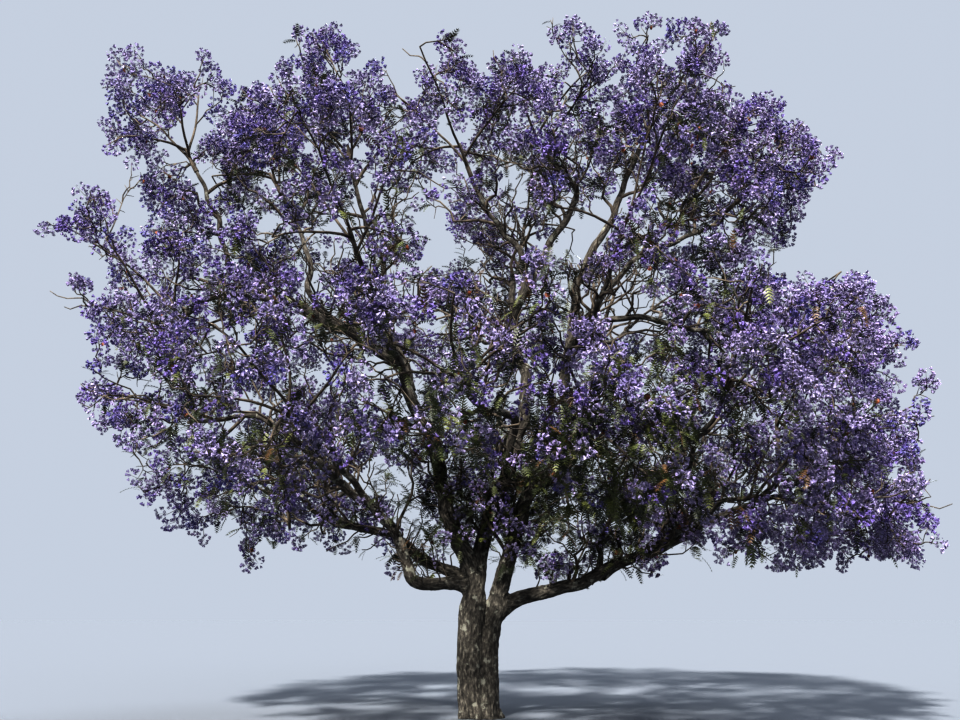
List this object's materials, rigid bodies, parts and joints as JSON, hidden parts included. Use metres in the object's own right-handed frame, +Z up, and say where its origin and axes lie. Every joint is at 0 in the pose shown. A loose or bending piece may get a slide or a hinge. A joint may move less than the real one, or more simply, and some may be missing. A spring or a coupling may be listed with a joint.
{
  "type": "jacaranda tree in blossom",
  "caption": "Whole spreading tree in violet blossom: twin trunk with a flared foot, tapering boughs, and an airy crown of twigs and blossom sprays.",
  "frame": {"origin": "middle of the flat cut under the trunk, at ground level", "axes": "+Z up; +X to the right and +Y away, as the tree is seen in the picture"},
  "size_m": [14.119, 12.3481, 11.1476],
  "materials": {
    "bark": "rough fissured grey-brown bark",
    "bough_bark": "finer grey-brown bark with pale lichen",
    "twig_bark": "smooth brown twig bark",
    "blossom": "soft matt lavender-violet petals",
    "leaf": "soft matt feathery green leaves",
    "pod": "dry red-brown seed pods"
  },
  "bodies": {
    "root": {"trunk": "bark", "bough_low_right": "bough_bark", "mass_low_right": "blossom", "bough_low_left": "bough_bark", "mass_low_left": "blossom", "bough_left_second": "bough_bark", "mass_left_second": "blossom", "bough_rising_left": "bough_bark", "mass_rising_left": "blossom", "bough_centre": "bough_bark", "mass_centre": "blossom", "bough_rising_right": "bough_bark", "mass_rising_right": "blossom", "bough_right_low": "bough_bark", "mass_right_low": "blossom", "bough_front_right_low": "bough_bark", "mass_front_right_low": "blossom", "bough_right_inner": "bough_bark", "mass_right_inner": "blossom", "bough_front_right_far": "bough_bark", "mass_front_right_far": "blossom", "bough_back_low_right": "bough_bark", "mass_back_low_right": "blossom", "bough_front_low_left": "bough_bark", "mass_front_low_left": "blossom", "bough_back_low_left": "bough_bark", "mass_back_low_left": "blossom", "bough_top_left_centre": "bough_bark", "mass_top_left_centre": "blossom", "bough_upper_left": "bough_bark", "mass_upper_left": "blossom", "bough_top_left": "bough_bark", "mass_top_left": "blossom", "bough_front_upper_left": "bough_bark", "mass_front_upper_left": "blossom", "bough_back_left": "bough_bark", "mass_back_left": "blossom", "bough_top_centre": "bough_bark", "mass_top_centre": "blossom", "bough_back_top": "bough_bark", "mass_back_top": "blossom", "bough_back": "bough_bark", "mass_back": "blossom", "bough_back_low": "bough_bark", "mass_back_low": "blossom", "bough_front_centre": "bough_bark", "mass_front_centre": "blossom", "bough_right_shoulder": "bough_bark", "mass_right_shoulder": "blossom", "bough_upper_right": "bough_bark", "mass_upper_right": "blossom", "bough_right_upper": "bough_bark", "mass_right_upper": "blossom", "bough_front_upper_right": "bough_bark", "mass_front_upper_right": "blossom", "bough_back_right": "bough_bark", "mass_back_right": "blossom", "bough_front_right": "bough_bark", "mass_front_right": "blossom"}
  },
  "joints": []
}
